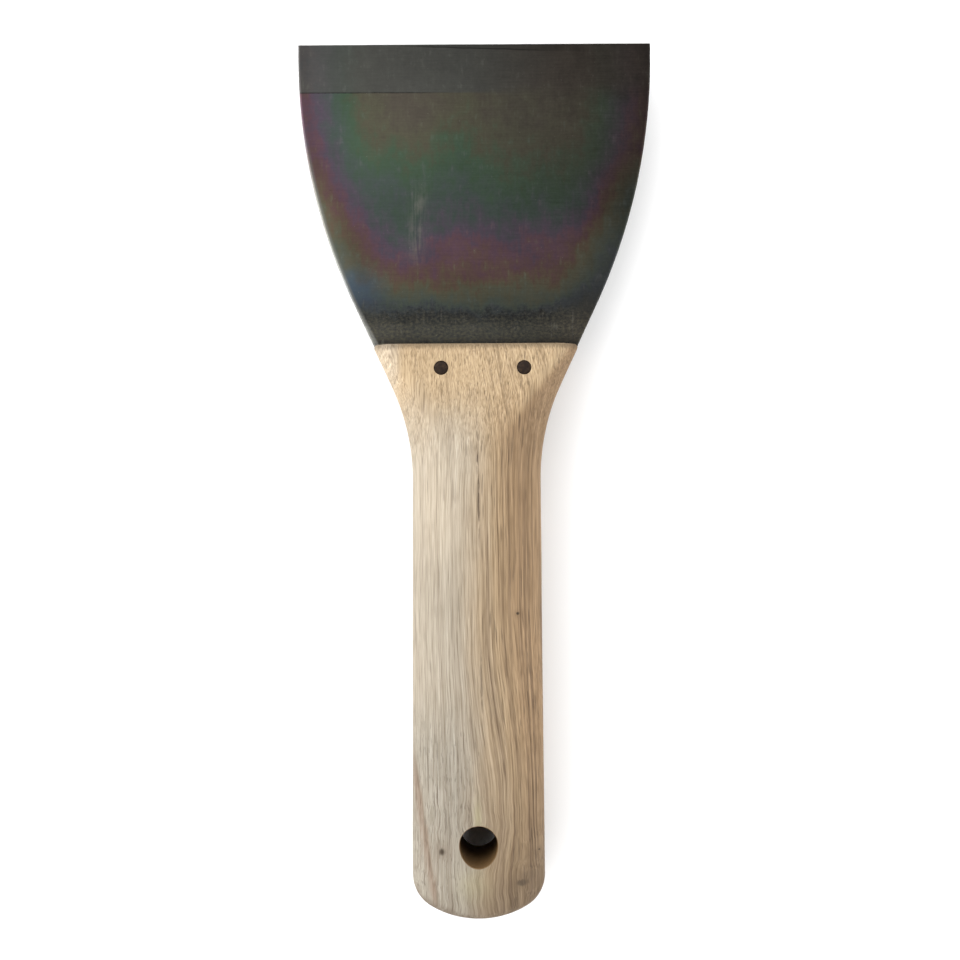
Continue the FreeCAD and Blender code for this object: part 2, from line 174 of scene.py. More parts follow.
def subtract(piece, cutters):
    """Cuts the cutters out of the piece and removes them."""
    for cutter in cutters:
        modifier = piece.modifiers.new("cut", "BOOLEAN")
        modifier.operation = "DIFFERENCE"
        modifier.solver = "EXACT"
        modifier.object = cutter
    graph = bpy.context.evaluated_depsgraph_get()
    result = bpy.data.meshes.new_from_object(piece.evaluated_get(graph))
    piece.modifiers.clear()
    piece.data = result
    for cutter in cutters:
        bpy.data.objects.remove(cutter)


# ---- The wooden handle --------------------------------------------------
def side_half_width(s):
    """Half width of the handle in plan: straight flare, hollow neck, nearly straight grip."""
    flare_end = NECK_LENGTH - NECK_RADIUS * math.sin(FLARE_ANGLE)
    ahead = np.clip(NECK_LENGTH - s, 0, NECK_LENGTH - flare_end)
    neck = GRIP_HALF_WIDTH + NECK_RADIUS - np.sqrt(NECK_RADIUS**2 - ahead**2)
    flare = np.maximum(flare_end - s, 0) * math.tan(FLARE_ANGLE)
    growth = (BUTT_HALF_WIDTH - GRIP_HALF_WIDTH) / (HANDLE_LENGTH - NECK_LENGTH - BUTT_CORNER)
    return neck + flare + np.maximum(s - NECK_LENGTH, 0) * growth


def plan_distance(x, s):
    """Distance outside the handle's plan outline; negative inside."""
    across = np.abs(x)
    lean = side_half_width(s + 0.5) - side_half_width(s - 0.5)
    side = (across - side_half_width(s)) / np.hypot(1, lean)
    arc_s = HANDLE_LENGTH - BUTT_RADIUS
    corner_x = BUTT_HALF_WIDTH - BUTT_CORNER
    corner_s = arc_s + math.sqrt((BUTT_RADIUS - BUTT_CORNER) ** 2 - corner_x**2)
    corner = np.hypot(across - corner_x, s - corner_s) - BUTT_CORNER
    end = np.hypot(across, s - arc_s) - BUTT_RADIUS
    in_end = (s > arc_s) & (across * (corner_s - arc_s) < corner_x * (s - arc_s))
    outline = np.where(in_end, end, np.where(s > corner_s, corner, side))
    return smooth_cut(outline, -s, HEAD_CORNER)


def handle_distance(x, s, z):
    """Distance outside the solid handle, with its worn edges; negative inside."""
    half_width = side_half_width(s) + OVAL_MARGIN
    nearness = np.clip((NECK_LENGTH - s) / NECK_LENGTH, 0, 1)
    half_height = CREST_HEIGHT + CREST_RISE * nearness**2
    scale = np.hypot(x / half_width, z / half_height)
    steepness = np.hypot(x / half_width**2, z / half_height**2)
    oval = (scale - 1) * scale / np.maximum(steepness, 1e-9)
    face = (np.abs(z) - HEAD_HALF_THICKNESS - SLOPE * s) / math.hypot(1, SLOPE)
    body = smooth_cut(oval, face, RIDGE_EDGE)
    body = smooth_cut(body, -z - BACK_HEIGHT, BACK_EDGE)
    toward_x, toward_s, toward_z = FACET_NORMAL
    fading = np.clip((s - FACET_STRAIGHT) / (2 * FACET_FADE), 0, 1)
    turned = np.minimum(s, FACET_STRAIGHT) + FACET_FADE * (1 - (1 - fading) ** 2)
    facet = (
        toward_x * (np.abs(x) - FACET_START)
        + toward_s * turned
        + toward_z * (np.abs(z) - HEAD_HALF_THICKNESS)
    )
    body = smooth_cut(body, facet, FACET_EDGE)
    rim = HEAD_EDGE + (SIDE_EDGE - HEAD_EDGE) * blend_range(s, 1, 6)
    rim = rim + (BUTT_EDGE - SIDE_EDGE) * blend_range(s, HANDLE_LENGTH - 9, HANDLE_LENGTH - 2.5)
    return smooth_cut(body, plan_distance(x, s), rim)


def station_levels():
    """Distances from the head at which the handle's skin has a ring of points."""
    turn = np.linspace(0.12, math.pi / 2, 9)
    head = HEAD_EDGE * (1 - np.cos(turn))
    flare = np.arange(HEAD_EDGE + 0.3, NECK_LENGTH, FINE_GAP)
    grip = np.arange(NECK_LENGTH, HANDLE_LENGTH - BUTT_ZONE, GRIP_GAP)
    butt = np.arange(HANDLE_LENGTH - BUTT_ZONE, HANDLE_LENGTH - BUTT_EDGE, FINE_GAP)
    rim = HANDLE_LENGTH - BUTT_EDGE * (1 - np.cos(turn[::-1]))
    return np.concatenate([head, flare, grip, butt, rim])


def end_sag(x):
    """How far the curved butt end falls back at a distance from the centre line."""
    return BUTT_RADIUS - np.sqrt(np.maximum(BUTT_RADIUS**2 - x**2, 0))


def reach_of_wood(way_x, way_z, level, bend):
    """How far each ray from the centre line goes before it leaves the wood."""
    near = np.zeros(np.broadcast(way_x, level).shape)
    far = np.full_like(near, 40.0)
    for _ in range(HALVINGS):
        reach = (near + far) / 2
        x, z = reach * way_x, reach * way_z
        inside = handle_distance(x, level - bend * end_sag(x), z) < 0
        near, far = np.where(inside, reach, near), np.where(inside, far, reach)
    return near


# Share of the handle's size that sanding takes off at most, and the lengths of its waves.
SANDING = 0.006
SANDING_WAVES = (46, 31, 22, 15, 11, 8)


def hand_sanding(x, s, z):
    """Shallow unevenness of a sanded surface, from 0 to 1, the same on each run."""
    chance = np.random.default_rng(7)
    total = np.zeros(np.broadcast(x, s, z).shape)
    for wave_length in SANDING_WAVES:
        for _ in range(3):
            way = chance.normal(size=3) * (1.0, 0.55, 1.0)
            way = way / np.linalg.norm(way) * (2 * math.pi / wave_length)
            phase = chance.uniform(0, 2 * math.pi)
            wave = np.sin(x * way[0] + s * way[1] + z * way[2] + phase)
            total = total + wave_length / SANDING_WAVES[0] * wave
    return 0.5 + 0.5 * np.tanh(total / 2.4)


def handle_skin():
    """Rings of points on the handle, with a cap of shrinking rings at each end."""
    level = station_levels()[:, None]
    around = np.linspace(0, 2 * math.pi, ROUND_STEPS, endpoint=False)[None, :]
    # Flattened rays keep the points evenly spaced round a wide, thin section.
    flatness = 0.32 + 0.3 * blend_range(level, 0, 30)
    way_x, way_z = np.cos(around), flatness * np.sin(around)
    length = np.hypot(way_x, way_z)
    way_x, way_z = way_x / length, way_z / length
    bend = blend_range(level, HANDLE_LENGTH - 40, HANDLE_LENGTH - 4)
    reach = reach_of_wood(way_x, way_z, level, bend)
    x, z = reach * way_x, reach * way_z
    sanded = 1 - SANDING * hand_sanding(x, level, z) * blend_range(level, 0, 12)
    x, z = x * sanded, z * sanded
    skin = to_frame(x, level - bend * end_sag(x), z)
    shrink = np.array(END_SHARES)[:, None]
    head = to_frame(shrink * x[0], level[0], shrink * z[0])
    back = shrink[::-1] * x[-1]
    butt = to_frame(back, level[-1] - end_sag(back), shrink[::-1] * z[-1])
    return np.concatenate([head, skin, butt])


def surface_height(x, s, side):
    """Height of the wood's front (side 1) or back (side -1) surface over a point in plan."""
    low, high = np.zeros(np.broadcast(x, s).shape), np.full(np.broadcast(x, s).shape, 20.0)
    for _ in range(HALVINGS):
        middle = (low + high) / 2
        inside = handle_distance(x, s, side * middle) < 0
        low, high = np.where(inside, middle, low), np.where(inside, high, middle)
    return low * side


# The hanging hole's lip: depth below the surface, and what it adds to the hole's radius. The
# first ring stands above the surface.
HANG_LIP = ((-3.0, 3.1), (0.0, 0.10), (0.04, 0.05), (0.10, 0.02), (0.30, 0.0), (0.8, 0.0))
# How far the hole is worn towards the butt below the front lip: depth and wear.
HANG_WEAR = ((2.2, 0.9), (3.6, 0.7), (5.0, 0.45), (6.6, 0.2), (8.5, 0.0))
LIP_WEAR = 1.0


def hang_hole_cutter():
    """The hanging hole: round, with soft lips, and worn long towards the butt at the front."""
    around = np.linspace(0, 2 * math.pi, 128, endpoint=False)
    across, along = np.cos(around), np.sin(around)
    toward_butt = along > 0
    front = surface_height(HANG_RADIUS * across, HANG_S + HANG_RADIUS * along, 1)
    back = surface_height(HANG_RADIUS * across, HANG_S + HANG_RADIUS * along, -1)
    rings = [(front - depth, flare, LIP_WEAR) for depth, flare in HANG_LIP]
    rings += [(front - depth, 0.0, wear) for depth, wear in HANG_WEAR]
    rings += [(back + depth, flare, 0.0) for depth, flare in HANG_LIP[::-1]]
    points = []
    for height, flare, wear in rings:
        reach_x = HANG_RADIUS + flare
        reach_s = reach_x + np.where(toward_butt, wear, 0.0)
        points.append(to_frame(reach_x * across, HANG_S + reach_s * along, height))
    return skin_mesh("hang_cutter", np.array(points))


def pin_place(node):
    """Middle of a pin in plan: distance across and distance from the head."""
    low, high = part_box(node)
    return (low.x + high.x) / 2 / MM, HEAD_Y - (low.y + high.y) / 2 / MM


def pin_cutter(node, radius):
    """A hole through the head or the blade for one pin."""
    x, s = pin_place(node)
    around = np.linspace(0, 2 * math.pi, 64, endpoint=False)
    across, along = x + radius * np.cos(around), s + radius * np.sin(around)
    heights = (12.0, 6.0, 0.1, -6.0, -12.0)
    return skin_mesh("pin_cutter", np.array([to_frame(across, along, z) for z in heights]))


def kerf_cutter():
    """The saw kerf that the tang sits in, through both sides and the head."""
    corners = [(1, 1), (1, -1), (-1, -1), (-1, 1)]
    stops = np.linspace(-5.0, KERF_DEPTH, 9)
    rings = [
        np.array([to_frame(KERF_REACH * across, stop, KERF_WIDTH / 2 * up) for across, up in corners])
        for stop in stops
    ]
    return skin_mesh("kerf_cutter", np.array(rings))


def build_handle():
    handle = skin_mesh("wooden_handle", handle_skin())
    pin_holes = [pin_cutter(node, PIN_RADIUS + WOOD_PLAY) for node in PINS]
    subtract(handle, [kerf_cutter(), hang_hole_cutter(), *pin_holes])
    smooth_shade(handle, 42)
    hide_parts("handle")
    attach(handle, "root")
    return handle


# ---- The steel blade ----------------------------------------------------
def blade_half_width(v):
    """Half width of the blade and its tang, from the working edge."""
    drop = np.clip(v, BLADE_LAND, BLADE_CURVE_END) - BLADE_LAND
    curved = BLADE_HALF_WIDTH - BLADE_SIDE_RADIUS + np.sqrt(BLADE_SIDE_RADIUS**2 - drop**2)
    straight = np.clip(v, BLADE_CURVE_END, BLADE_EXPOSED) - BLADE_CURVE_END
    curved = curved - straight * drop / np.sqrt(BLADE_SIDE_RADIUS**2 - drop**2)
    shoulder = np.interp(v, [BLADE_EXPOSED, SHOULDER_V], [0, 1])
    outer = curved + (SHOULDER_HALF_WIDTH - curved) * shoulder
    tang_end = BLADE_LENGTH - TANG_CORNER
    into_corner = np.clip(v - tang_end, 0, TANG_CORNER)
    tang = TANG_HALF_WIDTH - TANG_CORNER + np.sqrt(TANG_CORNER**2 - into_corner**2)
    return np.where(v > SHOULDER_V, tang, outer)


def blade_half_thickness(v):
    """Half thickness: ground thinner towards the working edge, which is slightly rounded."""
    ground = np.interp(v, [0, BLADE_GROUND], [BLADE_EDGE_THICKNESS / 2, BLADE_THICKNESS / 2])
    rounding = BLADE_EDGE_ROUNDING
    into_edge = np.clip(rounding - v, 0, rounding)
    return ground - rounding * 0.75 + 0.75 * np.sqrt(rounding**2 - into_edge**2)


def blade_section():
    """One turn round a blade's section: place across, from -1 to 1, and angle on the edge."""
    quarter = np.linspace(0, math.pi / 2, 6)
    run = np.linspace(1, -1, 66)[1:-1]
    right, left = np.ones(6), np.full(11, -1.0)
    across = np.concatenate([right, run, left, run[::-1], right[1:]])
    level = np.full_like(run, math.pi / 2)
    left_turn = np.linspace(math.pi / 2, 3 * math.pi / 2, 11)
    angle = np.concatenate([quarter, level, left_turn, level + math.pi, quarter[:-1] - math.pi / 2])
    return across, angle


def blade_levels():
    """Distances from the working edge at which the blade's skin has a ring of points."""
    rim = BLADE_EDGE_ROUNDING * (1 - np.cos(np.linspace(0.2, math.pi / 2, 5)))
    ground = np.linspace(0.4, BLADE_GROUND - 0.3, 28)
    step = BLADE_GROUND + np.array([-0.15, -0.05, 0.05, 0.15])
    face = np.linspace(BLADE_GROUND + 0.4, BLADE_EXPOSED - 0.2, 130)
    hidden = [BLADE_EXPOSED, SHOULDER_V - 0.01, SHOULDER_V + 0.01, 96.0, 101.0]
    corner = BLADE_LENGTH - TANG_CORNER * (1 - np.sin(np.linspace(0, 1.5, 7)))
    return np.concatenate([rim, ground, step, face, hidden, corner])


def build_blade():
    v = blade_levels()[:, None]
    across, angle = (values[None, :] for values in blade_section())
    straight = blade_half_width(v) - BLADE_SIDE_ROUNDING
    x = across * straight + BLADE_SIDE_ROUNDING * np.cos(angle)
    groove = 0.016 * np.exp(-(((v - BLADE_GROUND) / 0.12) ** 2)) * blend_range(-x, 8, 34)
    z = (blade_half_thickness(v) - groove) * np.sin(angle)
    ripple = hand_sanding(x * 1.7, v * 1.7, 0.0) - 0.5
    z = z + 0.07 * ripple * blend_range(BLADE_EXPOSED - v, 4, 20)
    blade = skin_mesh("blade_sheet", to_frame(x, v, z, EDGE_Y))
    subtract(blade, [pin_cutter(node, PIN_RADIUS + BLADE_PLAY) for node in PINS])
    smooth_shade(blade, 30)
    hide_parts("blade")
    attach(blade, "root")
    return blade


# ---- The pins -----------------------------------------------------------
# Rings on a pin's end: share of its radius, and how far the end has fallen back there.
PIN_END = ((0.25, 0.0), (0.5, 0.004), (0.72, 0.015), (0.88, 0.045), (0.97, 0.12), (1.0, 0.26))
PIN_RECESS = 0.015


def build_pin(node):
    """A plain pin, its ends ground with the sloping faces and a little rounded by the belt."""
    x, s = pin_place(node)
    low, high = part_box(node)
    slant = SLOPE * PIN_RADIUS
    half_length = (high.z - low.z) / MM / 2 - slant
    around = np.linspace(0, 2 * math.pi, 72, endpoint=False)
    rings = []
    for side in (1, -1):
        end = []
        for share, drop in PIN_END:
            across = share * PIN_RADIUS * np.cos(around)
            along = share * PIN_RADIUS * np.sin(around)
            wobble = 0.012 * np.sin(3 * around + 5 * share + s * side) * share
            height = half_length + SLOPE * along - drop - PIN_RECESS + wobble
            end.append(to_frame(x + across, s + along, side * height))
        rings += end if side == 1 else end[::-1]
    pin = skin_mesh(node.replace("rivet", "pin"), np.array(rings))
    smooth_shade(pin, 50)
    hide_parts(node)
    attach(pin, "root")
    return pin


# ---- Shader graphs ------------------------------------------------------
class Term:
    """A number in a shader's graph. Terms and plain numbers can be used in sums together."""

    def __init__(self, graph, socket):
        self.graph = graph
        self.socket = socket

    def __add__(self, other):
        return self.graph.math("ADD", self, other)

    def __radd__(self, other):
        return self.graph.math("ADD", other, self)

    def __sub__(self, other):
        return self.graph.math("SUBTRACT", self, other)

    def __rsub__(self, other):
        return self.graph.math("SUBTRACT", other, self)

    def __mul__(self, other):
        return self.graph.math("MULTIPLY", self, other)

    def __rmul__(self, other):
        return self.graph.math("MULTIPLY", other, self)

    def __truediv__(self, other):
        return self.graph.math("DIVIDE", self, other)

    def __pow__(self, other):
        return self.graph.math("POWER", self, other)


class Graph:
    """Builds a node graph out of terms."""

    def __init__(self, tree):
        self.tree = tree

    def node(self, kind, **settings):
        node = self.tree.nodes.new(kind)
        for name, value in settings.items():
            setattr(node, name, value)
        return node

    def feed(self, socket, value):
        """Links a term to a socket, or sets a plain number or colour on it."""
        if isinstance(value, Term):
            self.tree.links.new(value.socket, socket)
        elif socket.type == "RGBA":
            socket.default_value = (*value, 1)
        else:
            socket.default_value = value

    def math(self, operation, *values):
        node = self.node("ShaderNodeMath", operation=operation)
        for socket, value in zip(node.inputs, values):
            self.feed(socket, value)
        return Term(self, node.outputs[0])

    def low(self, value, limit):
        return self.math("MINIMUM", value, limit)

    def high(self, value, limit):
        return self.math("MAXIMUM", value, limit)

    def length(self, *values):
        """Square root of the sum of squares."""
        total = values[0] * values[0]
        for value in values[1:]:
            total = total + value * value
        return self.math("SQRT", total)

    def hump(self, value, width):
        """1 where the value is 0, falling to 0 on both sides, as exp(-(value / width)^2)."""
        scaled = value / width
        return self.math("EXPONENT", scaled * scaled * -1.0)

    def rise(self, value, start, end):
        """0 before start and 1 after end, smoothly between; end may be below start."""
        node = self.node("ShaderNodeMapRange", interpolation_type="SMOOTHSTEP")
        for name, number in (("Value", value), ("From Min", start), ("From Max", end)):
            self.feed(node.inputs[name], number)
        return Term(self, node.outputs["Result"])

    def bend(self, value, softness):
        """0 below 0 and the value itself above, with a soft bend between."""
        return (value + self.math("SQRT", value * value + softness * softness)) * 0.5

    def vector(self, x, y, z):
        node = self.node("ShaderNodeCombineXYZ")
        for socket, value in zip(node.inputs, (x, y, z)):
            self.feed(socket, value)
        return Term(self, node.outputs[0])

    def parts(self, vector):
        node = self.node("ShaderNodeSeparateXYZ")
        self.feed(node.inputs[0], vector)
        return [Term(self, socket) for socket in node.outputs]

    def noise(self, place, detail=2.0, roughness=0.5):
        """Smooth noise about 0, mostly from -0.5 to 0.5, with features about 1 unit across."""
        node = self.node("ShaderNodeTexNoise")
        self.feed(node.inputs["Vector"], self.vector(*place))
        node.inputs["Scale"].default_value = 1.0
        node.inputs["Detail"].default_value = detail
        node.inputs["Roughness"].default_value = roughness
        return Term(self, node.outputs[0]) - 0.5

    def ramp(self, value, stops):
        """Colours along a value, from stops of (value, colour)."""
        first, last = stops[0][0], stops[-1][0]
        node = self.node("ShaderNodeValToRGB")
        self.feed(node.inputs[0], (value - first) / (last - first))
        band = node.color_ramp
        band.elements.remove(band.elements[1])
        band.elements[0].position = 0.0
        band.elements[0].color = (*stops[0][1], 1)
        for place, colour in stops[1:]:
            band.elements.new((place - first) / (last - first)).color = (*colour, 1)
        return Term(self, node.outputs["Color"])

    def mix(self, share, first, second, blend="MIX"):
        node = self.node("ShaderNodeMix", data_type="RGBA", blend_type=blend)
        # Inputs 0, 6 and 7 are the share and the two colours.
        for socket, value in ((0, share), (6, first), (7, second)):
            self.feed(node.inputs[socket], value)
        return Term(self, node.outputs[2])

    def bump(self, height, depth):
        """Surface normal for a height in millimetres times depth."""
        node = self.node("ShaderNodeBump")
        node.inputs["Strength"].default_value = 1.0
        node.inputs["Distance"].default_value = depth * MM
        self.feed(node.inputs["Height"], height)
        return Term(self, node.outputs["Normal"])


def srgb(red, green, blue):
    """A colour as it looks on a screen, 0 to 255, as linear light."""
    shares = [value / 255 for value in (red, green, blue)]
    return tuple(s / 12.92 if s <= 0.04045 else ((s + 0.055) / 1.055) ** 2.4 for s in shares)


def scaled(colour, factor):
    return tuple(value * factor for value in colour)


def new_material(name):
    """A material with its graph and its Principled shader."""
    material = bpy.data.materials.new(name)
    material.use_nodes = True
    graph = Graph(material.node_tree)
    return material, graph, material.node_tree.nodes["Principled BSDF"].inputs


def piece_place(graph, start_y):
    """Across, along from start_y and above the centre plane, in millimetres."""
    texture = graph.node("ShaderNodeTexCoord")
    x, y, z = graph.parts(Term(graph, texture.outputs["Object"]))
    return x / MM, start_y - y / MM, z / MM - CENTRE_Z


# ---- Wood ---------------------------------------------------------------
# Middle of the growth rings, behind the right side of the handle.
PITH_X, PITH_Z = 34.0, -30.0
# Middle of the knots that the grain parts round.
KNOT_X, KNOT_S = 12.5, 150.0

# Left and right tones of the wood: partly its own colour, partly painted light on the left and painted
# shade on the right.
PALE_LIT_LEFT_WOOD = (0.270, 0.232, 0.178)
PLAIN_WOOD = (0.282, 0.200, 0.116)
TAN_SHADED_RIGHT_WOOD = (0.250, 0.163, 0.088)
HEAD_WOOD = (0.352, 0.255, 0.149)
# Painted shade on the head's right shoulder.
SHOULDER_SHADE = (0.165, 0.105, 0.056)
# Pale wood with painted light, for the left of the neck.
PALE_LIT_NECK_WOOD = (0.385, 0.322, 0.240)
# Painted highlight on the head's left corner.
CORNER_HIGHLIGHT = scaled(PALE_LIT_NECK_WOOD, 1.15)
LOW_WOOD = (0.150, 0.104, 0.060)
GREY_WOOD = (0.200, 0.180, 0.145)
LATE_WOOD = (0.088, 0.052, 0.028)
PORE_WOOD = (0.054, 0.033, 0.019)
# Dark knots; also painted shadow along the head's rim.
KNOT_AND_SHADOW_WOOD = (0.034, 0.022, 0.011)
# Painted shade inside the hanging hole.
HOLE_SHADE_WOOD = (0.104, 0.056, 0.018)
RED_WOOD = (0.150, 0.090, 0.056)
OLIVE_WOOD = (0.262, 0.236, 0.130)
# Grime, also used as painted shade round the butt and low on the right.
GRIME_AND_SHADE = (0.088, 0.062, 0.040)

# Dark streaks along the grain: place across it, width, start, end and strength.
STREAKS = (
    (3.0, 0.38, 48.0, 130.0, 0.75),
    (4.1, 0.22, 70.0, 134.0, 0.45),
    (7.2, 0.70, 60.0, 128.0, 0.55),
    (10.6, 0.30, 30.0, 100.0, 0.34),
    (13.4, 0.26, 36.0, 110.0, 0.30),
    (17.6, 0.42, 70.0, 122.0, 0.42),
    (-3.2, 0.24, 92.0, 122.0, 0.55),
    (-10.6, 0.22, 60.0, 100.0, 0.20),
)
# Small knots: place across, distance from the head, half width, half length and strength.
KNOTS = (
    (-10.2, 141.6, 0.85, 1.15, 1.0),
    (12.0, 150.4, 1.7, 0.9, 0.75),
    (13.8, 148.6, 2.4, 1.5, 0.2),
    (11.2, 75.5, 0.42, 0.42, 0.95),
    (17.0, 142.0, 0.35, 0.35, 0.95),
)


def grain_place(graph, x, s, z):
    """Place across the grain: it wanders, leans to the right below the grip's middle,
    ripples near the butt and parts round the knots and the hanging hole."""
    sway = graph.noise((x / 26, s / 60, z / 26), detail=1.0)
    wander = graph.noise((x / 7, s / 26, z / 7 + 9.0), detail=1.0)
    ripple = graph.noise((x / 7 + 5.0, s / 5.5, z / 7), detail=1.0) * graph.rise(s, 116, 140)
    lean = graph.bend(s - 84.0, 14.0) * 0.12 - graph.bend(s - 122.0, 10.0) * 0.12
    lean = lean * (graph.rise(x, -8.0, 8.0) * 0.85 + 0.15)
    near_knot = graph.hump(graph.length((x - KNOT_X) / 7.0, (s - KNOT_S) / 9.5), 1.0)
    parting = (x - KNOT_X) * near_knot * -0.6
    near_hole = graph.hump(graph.length(x / 8.0, (s - HANG_S) / 12.0), 1.0)
    return x + sway * 2.6 + wander * 1.1 + ripple * 1.7 - lean + parting + x * near_hole * -0.12


class Wood:
    """Where a point of the wood is, and the noises of its grain there."""

    def __init__(self, graph):
        x, s, z = piece_place(graph, HEAD_Y)
        u = grain_place(graph, x, s, z)
        ring = graph.length(u - PITH_X, z - PITH_Z)
        self.x, self.s, self.u = x, s, u
        self.cloud = graph.noise((x / 9, s / 26, z / 9 + 20.0), detail=2.0)
        self.mottle = graph.noise((u / 3.2, s / 9, z / 3.2 + 60.0), detail=2.0)
        self.broad = graph.noise((ring / 3.6, s / 150, z / 40), detail=2.0)
        self.lines = graph.noise((ring / 0.62, s / 120, z / 30), detail=2.0, roughness=0.6)
        self.hair = graph.noise((ring / 0.27, s / 60, z / 9), detail=1.0, roughness=0.6)
        self.strand = graph.noise((u / 0.85, s / 60, z / 0.85), detail=2.0, roughness=0.6)
        self.fibre = graph.noise((u / 0.42, s / 30, z / 0.42), detail=2.0, roughness=0.6)
        self.fine = graph.noise((u / 0.2, s / 8, z / 0.2), detail=1.0)
        self.pores = graph.noise((u / 0.24, s / 2.5, z / 0.24 + 40.0), detail=1.0, roughness=0.4)
        self.long_pores = graph.noise((u / 0.40, s / 12, z / 0.40 + 80.0), detail=1.0, roughness=0.4)
        self.right = graph.rise(u + self.cloud * 4.0, -4.0, 6.0)
        self.front = graph.rise(z, 0.0, 3.0)
        self.at_head = graph.rise(s, 42.0, 10.0)
        self.low_left = graph.rise(s + self.cloud * 20.0, 96.0, 118.0) * graph.rise(x, 6.0, -6.0)


def wood_tone(graph, wood):
    """The wood's colour before its lines: pale on the left and tan on the right, partly its own tone
    and partly painted light and shade; lighter at the head, with a painted highlight on its left corner
    and painted shade on its right shoulder; a lighter neck, partly painted light on its left; greyer
    low on the left."""
    x, s, u, cloud = wood.x, wood.s, wood.u, wood.cloud
    # Pale on the left and tan on the right: partly the wood's own tone, partly painted light on the
    # left and painted shade on the right.
    tan_and_shaded_side = graph.rise(u + wood.broad * 8.0 + cloud * 5.0, -8.0, 7.0)
    colour = graph.mix(tan_and_shaded_side, PALE_LIT_LEFT_WOOD, PLAIN_WOOD)
    colour = graph.mix(graph.rise(u + wood.broad * 7.0, 3.0, 13.0), colour, TAN_SHADED_RIGHT_WOOD)
    shoulder = x + s * 0.745
    head = graph.rise(s + cloud * 12.0, 34.0, 6.0) * graph.rise(shoulder, 28.5, 25.5)
    colour = graph.mix(head, colour, HEAD_WOOD)
    # Painted shade on the head's right shoulder, which faces away from the light.
    shaded_shoulder = graph.rise(shoulder + cloud * 3.0, 26.5, 29.5) * graph.rise(s, 46.0, 24.0)
    shaded_shoulder = shaded_shoulder * graph.rise(x, 6.0, 12.0)
    colour = graph.mix(shaded_shoulder * 0.4, colour, SHOULDER_SHADE)
    # Painted highlight on the head's left corner facet.
    corner = graph.rise(x, -20.0, -23.5) * graph.rise(s, 20.0, 8.0)
    colour = graph.mix(corner * 0.7, colour, CORNER_HIGHLIGHT)
    # A lighter neck: partly pale wood, and painted light on its left side.
    neck = graph.rise(s, 14.0, 30.0) * graph.rise(s + cloud * 20.0, 74.0, 44.0)
    neck = neck * graph.rise(u + cloud * 6.0, 5.0, -9.0)
    neck = neck * (0.12 + graph.rise(x, -19.0, -13.0) * 0.38)
    colour = graph.mix(neck, colour, PALE_LIT_NECK_WOOD)
    low_middle = graph.rise(s, 104.0, 126.0) * graph.rise(x, -4.0, 4.0)
    low_middle = low_middle * (0.3 + graph.rise(s, 122.0, 140.0) * 0.25)
    colour = graph.mix(low_middle, colour, LOW_WOOD)
    grey = graph.rise(s + cloud * 20.0, 92.0, 120.0) * graph.rise(x + cloud * 8.0, 3.0, -7.0)
    return graph.mix(grey * 0.7, colour, GREY_WOOD)


def add_late_wood(graph, colour, wood):
    """Dark lines of the growth rings, strongest on the right, and darker mottling."""
    below_neck = graph.rise(wood.s, 20.0, 60.0)
    near_butt = graph.rise(wood.s, 112.0, 134.0)
    late = wood.right * (0.12 + below_neck * 0.24 + near_butt * 0.14) + 0.13 + near_butt * 0.1
    late = late * graph.rise(wood.lines + wood.broad * 0.4, 0.02, 0.13)
    colour = graph.mix(late, colour, LATE_WOOD)
    return graph.mix(graph.rise(wood.mottle, 0.0, 0.34) * 0.20, colour, LATE_WOOD)


def pore_share(graph, wood):
    """How much of a point is open pore: short dashes, mostly at the head and low on the left,
    and long ones everywhere."""
    dashes = graph.rise(wood.pores, 0.11, 0.22)
    dashes = dashes * (0.08 + wood.at_head * 0.28 + wood.low_left * 0.3)
    long_dashes = graph.rise(wood.long_pores, 0.13, 0.23)
    long_dashes = long_dashes * (0.34 + wood.right * 0.16 + wood.low_left * 0.2)
    return graph.high(dashes, long_dashes)


def add_streaks(graph, colour, wood):
    """Single dark streaks that follow the grain."""
    for place, width, start, end, strength in STREAKS:
        run = graph.rise(wood.s, start - 14, start + 14) * graph.rise(wood.s, end, end - 12)
        streak = graph.hump(wood.u - place + wood.fine * 0.4, width) * run
        colour = graph.mix(streak * strength * (0.8 + wood.fibre * 1.6), colour, LATE_WOOD)
    return colour


def add_stains(graph, colour, wood):
    """On the front, a slanting red-brown band with a dark line, low on the left, and an olive
    stain on each side of the hanging hole."""
    x, s, front = wood.x, wood.s, wood.front
    band = graph.hump(x + 17.6 - (s - 122.4) * 0.16 + wood.strand * 1.6 + wood.fibre, 1.1)
    band = band * graph.rise(s, 108, 124) * graph.rise(s, 162, 152)
    colour = graph.mix(band * 0.5 * front, colour, RED_WOOD)
    line = graph.hump(x + 16.9 - (s - 122.4) * 0.15 + wood.strand * 1.2 + wood.fibre, 0.35)
    line = line * graph.rise(s, 110, 124) * graph.rise(s, 158, 146)
    colour = graph.mix(line * 0.5 * front, colour, LATE_WOOD)
    above_hole = graph.length((x + 0.2) / 1.1, (s - 131.5) / 4.5) + wood.fine * 0.4
    colour = graph.mix(graph.hump(above_hole, 1.0) * 0.5 * front, colour, OLIVE_WOOD)
    below_hole = graph.length((x + 1.5) / 4.5, (s - 151.0) / 5.0) + wood.mottle
    return graph.mix(graph.hump(below_hole, 1.0) * 0.35 * front, colour, OLIVE_WOOD)


def crack_share(graph, wood):
    """How open the fine crack in the front is: it runs down the neck and again lower down."""
    x, s = wood.x, wood.s
    across = x - 0.35 - (s - 30.0) * 0.012 + graph.noise((s / 9, 3.0, 1.0)) * 0.7
    broken = graph.rise(graph.noise((s / 3.5, x / 0.6, 7.0), detail=2.0), -0.16, 0.06)
    run = graph.rise(s, 14.0, 36.0) * graph.rise(s, 60.0, 46.0)
    run = run + graph.rise(s, 80.0, 90.0) * graph.rise(s, 110.0, 98.0) * 0.6
    return graph.hump(across, 0.28) * broken * run * wood.front


